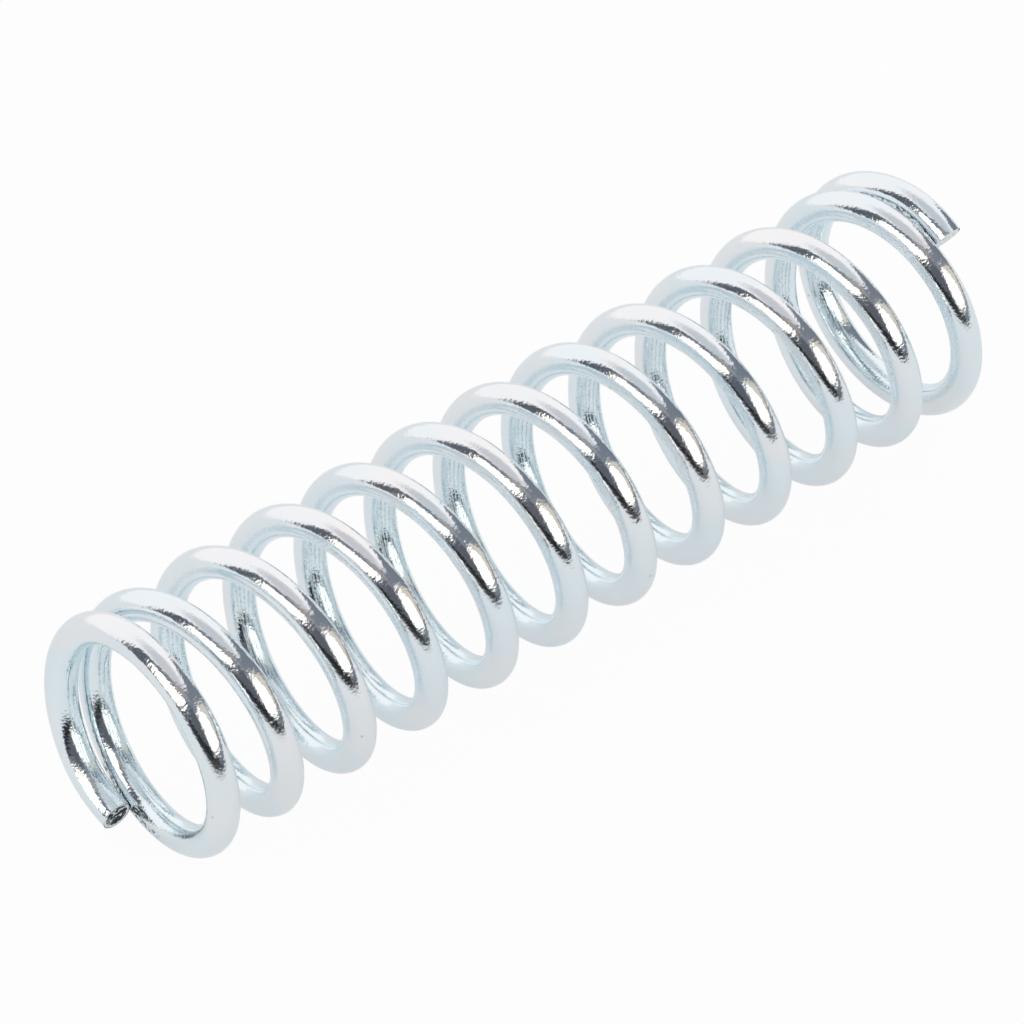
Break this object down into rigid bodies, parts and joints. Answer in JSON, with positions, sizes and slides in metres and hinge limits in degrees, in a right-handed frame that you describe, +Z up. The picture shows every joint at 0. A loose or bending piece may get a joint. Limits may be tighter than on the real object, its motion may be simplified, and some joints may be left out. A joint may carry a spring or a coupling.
{
  "type": "compression coil spring",
  "caption": "Cylindrical right-hand compression coil spring of round zinc-plated steel wire, with closed, unground ends and square-sheared wire tips.",
  "frame": {"origin": "on the floor below the middle of the spring's length, under its axis, with the spring lying on its side", "axes": "+X along the coil axis from the left tip to the right tip, +Y towards the rear, +Z up"},
  "size_m": [0.0974, 0.0245, 0.0248],
  "materials": {
    "zinc_plated_wire": "bright zinc plating with a pale blue passivation over drawn spring wire"
  },
  "bodies": {
    "left_end_coil": {"left_tip": "zinc_plated_wire", "coil_01_rear": "zinc_plated_wire", "coil_01_top": "zinc_plated_wire", "coil_01_front": "zinc_plated_wire", "coil_01_bottom": "zinc_plated_wire", "coil_02_rear": "zinc_plated_wire", "coil_02_top": "zinc_plated_wire"},
    "coil_02_front_arc": {"coil_02_front": "zinc_plated_wire"},
    "coil_02_bottom_arc": {"coil_02_bottom": "zinc_plated_wire"},
    "coil_03_rear_arc": {"coil_03_rear": "zinc_plated_wire"},
    "coil_03_top_arc": {"coil_03_top": "zinc_plated_wire"},
    "coil_03_front_arc": {"coil_03_front": "zinc_plated_wire"},
    "coil_03_bottom_arc": {"coil_03_bottom": "zinc_plated_wire"},
    "coil_04_rear_arc": {"coil_04_rear": "zinc_plated_wire"},
    "coil_04_top_arc": {"coil_04_top": "zinc_plated_wire"},
    "coil_04_front_arc": {"coil_04_front": "zinc_plated_wire"},
    "coil_04_bottom_arc": {"coil_04_bottom": "zinc_plated_wire"},
    "coil_05_rear_arc": {"coil_05_rear": "zinc_plated_wire"},
    "coil_05_top_arc": {"coil_05_top": "zinc_plated_wire"},
    "coil_05_front_arc": {"coil_05_front": "zinc_plated_wire"},
    "coil_05_bottom_arc": {"coil_05_bottom": "zinc_plated_wire"},
    "coil_06_rear_arc": {"coil_06_rear": "zinc_plated_wire"},
    "coil_06_top_arc": {"coil_06_top": "zinc_plated_wire"},
    "coil_06_front_arc": {"coil_06_front": "zinc_plated_wire"},
    "coil_06_bottom_arc": {"coil_06_bottom": "zinc_plated_wire"},
    "coil_07_rear_arc": {"coil_07_rear": "zinc_plated_wire"},
    "coil_07_top_arc": {"coil_07_top": "zinc_plated_wire"},
    "coil_07_front_arc": {"coil_07_front": "zinc_plated_wire"},
    "coil_07_bottom_arc": {"coil_07_bottom": "zinc_plated_wire"},
    "coil_08_rear_arc": {"coil_08_rear": "zinc_plated_wire"},
    "coil_08_top_arc": {"coil_08_top": "zinc_plated_wire"},
    "coil_08_front_arc": {"coil_08_front": "zinc_plated_wire"},
    "coil_08_bottom_arc": {"coil_08_bottom": "zinc_plated_wire"},
    "coil_09_rear_arc": {"coil_09_rear": "zinc_plated_wire"},
    "coil_09_top_arc": {"coil_09_top": "zinc_plated_wire"},
    "coil_09_front_arc": {"coil_09_front": "zinc_plated_wire"},
    "coil_09_bottom_arc": {"coil_09_bottom": "zinc_plated_wire"},
    "coil_10_rear_arc": {"coil_10_rear": "zinc_plated_wire"},
    "coil_10_top_arc": {"coil_10_top": "zinc_plated_wire"},
    "coil_10_front_arc": {"coil_10_front": "zinc_plated_wire"},
    "coil_10_bottom_arc": {"coil_10_bottom": "zinc_plated_wire"},
    "coil_11_rear_arc": {"coil_11_rear": "zinc_plated_wire"},
    "coil_11_top_arc": {"coil_11_top": "zinc_plated_wire"},
    "coil_11_front_arc": {"coil_11_front": "zinc_plated_wire"},
    "coil_11_bottom_arc": {"coil_11_bottom": "zinc_plated_wire"},
    "right_end_coil": {"coil_12_rear": "zinc_plated_wire", "coil_12_top": "zinc_plated_wire", "coil_12_front": "zinc_plated_wire", "coil_12_bottom": "zinc_plated_wire", "coil_13_rear": "zinc_plated_wire", "right_tip": "zinc_plated_wire"}
  },
  "joints": [
    {"name": "shorten_coil_02_front", "type": "slide", "parent": "left_end_coil", "child": "coil_02_front_arc", "axis": [-1, 0, 0], "range_m": [0, 0.000734], "stiffness_N_per_m": 299000},
    {"name": "shorten_coil_02_bottom", "type": "slide", "parent": "coil_02_front_arc", "child": "coil_02_bottom_arc", "axis": [-1, 0, 0], "range_m": [0, 0.00112], "stiffness_N_per_m": 299000},
    {"name": "shorten_coil_03_rear", "type": "slide", "parent": "coil_02_bottom_arc", "child": "coil_03_rear_arc", "axis": [-1, 0, 0], "range_m": [0, 0.00126], "stiffness_N_per_m": 299000},
    {"name": "shorten_coil_03_top", "type": "slide", "parent": "coil_03_rear_arc", "child": "coil_03_top_arc", "axis": [-1, 0, 0], "range_m": [0, 0.00126], "stiffness_N_per_m": 299000},
    {"name": "shorten_coil_03_front", "type": "slide", "parent": "coil_03_top_arc", "child": "coil_03_front_arc", "axis": [-1, 0, 0], "range_m": [0, 0.00126], "stiffness_N_per_m": 299000},
    {"name": "shorten_coil_03_bottom", "type": "slide", "parent": "coil_03_front_arc", "child": "coil_03_bottom_arc", "axis": [-1, 0, 0], "range_m": [0, 0.00126], "stiffness_N_per_m": 299000},
    {"name": "shorten_coil_04_rear", "type": "slide", "parent": "coil_03_bottom_arc", "child": "coil_04_rear_arc", "axis": [-1, 0, 0], "range_m": [0, 0.00126], "stiffness_N_per_m": 299000},
    {"name": "shorten_coil_04_top", "type": "slide", "parent": "coil_04_rear_arc", "child": "coil_04_top_arc", "axis": [-1, 0, 0], "range_m": [0, 0.00126], "stiffness_N_per_m": 299000},
    {"name": "shorten_coil_04_front", "type": "slide", "parent": "coil_04_top_arc", "child": "coil_04_front_arc", "axis": [-1, 0, 0], "range_m": [0, 0.00126], "stiffness_N_per_m": 299000},
    {"name": "shorten_coil_04_bottom", "type": "slide", "parent": "coil_04_front_arc", "child": "coil_04_bottom_arc", "axis": [-1, 0, 0], "range_m": [0, 0.00126], "stiffness_N_per_m": 299000},
    {"name": "shorten_coil_05_rear", "type": "slide", "parent": "coil_04_bottom_arc", "child": "coil_05_rear_arc", "axis": [-1, 0, 0], "range_m": [0, 0.00126], "stiffness_N_per_m": 299000},
    {"name": "shorten_coil_05_top", "type": "slide", "parent": "coil_05_rear_arc", "child": "coil_05_top_arc", "axis": [-1, 0, 0], "range_m": [0, 0.00126], "stiffness_N_per_m": 299000},
    {"name": "shorten_coil_05_front", "type": "slide", "parent": "coil_05_top_arc", "child": "coil_05_front_arc", "axis": [-1, 0, 0], "range_m": [0, 0.00126], "stiffness_N_per_m": 299000},
    {"name": "shorten_coil_05_bottom", "type": "slide", "parent": "coil_05_front_arc", "child": "coil_05_bottom_arc", "axis": [-1, 0, 0], "range_m": [0, 0.00126], "stiffness_N_per_m": 299000},
    {"name": "shorten_coil_06_rear", "type": "slide", "parent": "coil_05_bottom_arc", "child": "coil_06_rear_arc", "axis": [-1, 0, 0], "range_m": [0, 0.00126], "stiffness_N_per_m": 299000},
    {"name": "shorten_coil_06_top", "type": "slide", "parent": "coil_06_rear_arc", "child": "coil_06_top_arc", "axis": [-1, 0, 0], "range_m": [0, 0.00126], "stiffness_N_per_m": 299000},
    {"name": "shorten_coil_06_front", "type": "slide", "parent": "coil_06_top_arc", "child": "coil_06_front_arc", "axis": [-1, 0, 0], "range_m": [0, 0.00126], "stiffness_N_per_m": 299000},
    {"name": "shorten_coil_06_bottom", "type": "slide", "parent": "coil_06_front_arc", "child": "coil_06_bottom_arc", "axis": [-1, 0, 0], "range_m": [0, 0.00126], "stiffness_N_per_m": 299000},
    {"name": "shorten_coil_07_rear", "type": "slide", "parent": "coil_06_bottom_arc", "child": "coil_07_rear_arc", "axis": [-1, 0, 0], "range_m": [0, 0.00126], "stiffness_N_per_m": 299000},
    {"name": "shorten_coil_07_top", "type": "slide", "parent": "coil_07_rear_arc", "child": "coil_07_top_arc", "axis": [-1, 0, 0], "range_m": [0, 0.00126], "stiffness_N_per_m": 299000},
    {"name": "shorten_coil_07_front", "type": "slide", "parent": "coil_07_top_arc", "child": "coil_07_front_arc", "axis": [-1, 0, 0], "range_m": [0, 0.00126], "stiffness_N_per_m": 299000},
    {"name": "shorten_coil_07_bottom", "type": "slide", "parent": "coil_07_front_arc", "child": "coil_07_bottom_arc", "axis": [-1, 0, 0], "range_m": [0, 0.00126], "stiffness_N_per_m": 299000},
    {"name": "shorten_coil_08_rear", "type": "slide", "parent": "coil_07_bottom_arc", "child": "coil_08_rear_arc", "axis": [-1, 0, 0], "range_m": [0, 0.00126], "stiffness_N_per_m": 299000},
    {"name": "shorten_coil_08_top", "type": "slide", "parent": "coil_08_rear_arc", "child": "coil_08_top_arc", "axis": [-1, 0, 0], "range_m": [0, 0.00126], "stiffness_N_per_m": 299000},
    {"name": "shorten_coil_08_front", "type": "slide", "parent": "coil_08_top_arc", "child": "coil_08_front_arc", "axis": [-1, 0, 0], "range_m": [0, 0.00126], "stiffness_N_per_m": 299000},
    {"name": "shorten_coil_08_bottom", "type": "slide", "parent": "coil_08_front_arc", "child": "coil_08_bottom_arc", "axis": [-1, 0, 0], "range_m": [0, 0.00126], "stiffness_N_per_m": 299000},
    {"name": "shorten_coil_09_rear", "type": "slide", "parent": "coil_08_bottom_arc", "child": "coil_09_rear_arc", "axis": [-1, 0, 0], "range_m": [0, 0.00126], "stiffness_N_per_m": 299000},
    {"name": "shorten_coil_09_top", "type": "slide", "parent": "coil_09_rear_arc", "child": "coil_09_top_arc", "axis": [-1, 0, 0], "range_m": [0, 0.00126], "stiffness_N_per_m": 299000},
    {"name": "shorten_coil_09_front", "type": "slide", "parent": "coil_09_top_arc", "child": "coil_09_front_arc", "axis": [-1, 0, 0], "range_m": [0, 0.00126], "stiffness_N_per_m": 299000},
    {"name": "shorten_coil_09_bottom", "type": "slide", "parent": "coil_09_front_arc", "child": "coil_09_bottom_arc", "axis": [-1, 0, 0], "range_m": [0, 0.00126], "stiffness_N_per_m": 299000},
    {"name": "shorten_coil_10_rear", "type": "slide", "parent": "coil_09_bottom_arc", "child": "coil_10_rear_arc", "axis": [-1, 0, 0], "range_m": [0, 0.00126], "stiffness_N_per_m": 299000},
    {"name": "shorten_coil_10_top", "type": "slide", "parent": "coil_10_rear_arc", "child": "coil_10_top_arc", "axis": [-1, 0, 0], "range_m": [0, 0.00126], "stiffness_N_per_m": 299000},
    {"name": "shorten_coil_10_front", "type": "slide", "parent": "coil_10_top_arc", "child": "coil_10_front_arc", "axis": [-1, 0, 0], "range_m": [0, 0.00126], "stiffness_N_per_m": 299000},
    {"name": "shorten_coil_10_bottom", "type": "slide", "parent": "coil_10_front_arc", "child": "coil_10_bottom_arc", "axis": [-1, 0, 0], "range_m": [0, 0.00126], "stiffness_N_per_m": 299000},
    {"name": "shorten_coil_11_rear", "type": "slide", "parent": "coil_10_bottom_arc", "child": "coil_11_rear_arc", "axis": [-1, 0, 0], "range_m": [0, 0.00126], "stiffness_N_per_m": 299000},
    {"name": "shorten_coil_11_top", "type": "slide", "parent": "coil_11_rear_arc", "child": "coil_11_top_arc", "axis": [-1, 0, 0], "range_m": [0, 0.00126], "stiffness_N_per_m": 299000},
    {"name": "shorten_coil_11_front", "type": "slide", "parent": "coil_11_top_arc", "child": "coil_11_front_arc", "axis": [-1, 0, 0], "range_m": [0, 0.00121], "stiffness_N_per_m": 299000},
    {"name": "shorten_coil_11_bottom", "type": "slide", "parent": "coil_11_front_arc", "child": "coil_11_bottom_arc", "axis": [-1, 0, 0], "range_m": [0, 0.000944], "stiffness_N_per_m": 299000},
    {"name": "shorten_right_end_coil", "type": "slide", "parent": "coil_11_bottom_arc", "child": "right_end_coil", "axis": [-1, 0, 0], "range_m": [0, 0.000465], "stiffness_N_per_m": 299000}
  ]
}
